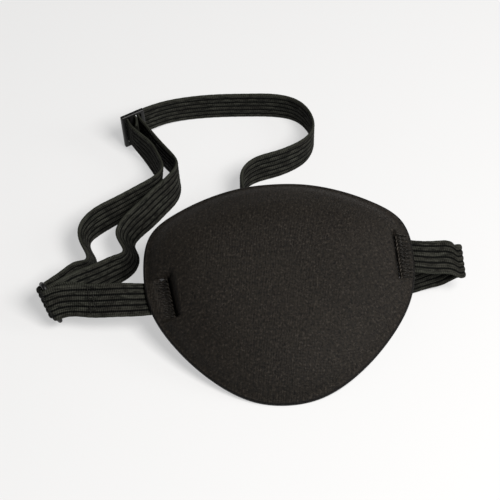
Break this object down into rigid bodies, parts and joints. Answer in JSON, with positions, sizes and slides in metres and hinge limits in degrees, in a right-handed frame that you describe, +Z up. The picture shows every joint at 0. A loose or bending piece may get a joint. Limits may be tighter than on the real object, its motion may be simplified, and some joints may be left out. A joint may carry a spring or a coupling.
{
  "type": "eye patch",
  "caption": "Moulded cup-shaped eye patch with a folded elastic head strap, a strap slider and a ring that joins the strap's two parts.",
  "frame": {"origin": "bottom centre of the bounding box, on the surface that the patch and its straps lie on", "axes": "+Z up from that surface; +X along the patch from its left tab to its right tab; +Y from the patch towards the folded strap"},
  "size_m": [0.1282, 0.1166, 0.0292],
  "materials": {
    "cover_fabric": "fine warp-knit face with a soft satin sheen, hot-pressed edge",
    "foam": "moulded polyurethane foam, sealed between the two fabrics",
    "lining_fabric": "brushed knit against the face",
    "elastic": "ribbed woven elastic with corded edges, slightly dusty",
    "thread": "black polyester sewing thread, catching the light",
    "ring_metal": "nylon-coated wire, smooth",
    "slider_plastic": "glossy black moulding"
  },
  "bodies": {
    "root": {"outer_cover": "cover_fabric", "foam_core": "foam", "eye_side_lining": "lining_fabric", "left_tab_stitching": "thread", "right_tab_stitching": "thread", "short_strap": "elastic", "short_strap_stitching": "thread", "long_strap_tab_end": "elastic", "long_strap_under_patch": "elastic", "long_strap_far_turn": "elastic", "long_strap_top_run": "elastic", "long_strap_outer_upper": "elastic", "long_strap_outer_lower": "elastic", "long_strap_inner_lower": "elastic", "long_strap_inner_upper": "elastic"},
    "slider_body": {"slider": "slider_plastic", "long_strap_slider_bend": "elastic", "long_strap_sewn_end": "elastic", "sewn_end_stitching": "thread"},
    "ring_body": {"ring": "ring_metal", "long_strap_ring_turn": "elastic"}
  },
  "joints": [
    {"name": "slider_travel", "type": "slide", "parent": "root", "child": "slider_body", "axis": [0.9552, 0.2961, 0], "range_m": [-0.005, 0.03], "deforming": ["long_strap_top_run", "long_strap_outer_upper", "long_strap_inner_upper"]},
    {"name": "ring_swing", "type": "hinge", "parent": "root", "child": "ring_body", "pos_m": [-0.05873, -0.02749, 0.00899], "axis": [-0.4006, 0.5008, 0.7672], "range_deg": [-10, 10], "deforming": ["long_strap_outer_lower", "long_strap_inner_lower"]}
  ]
}
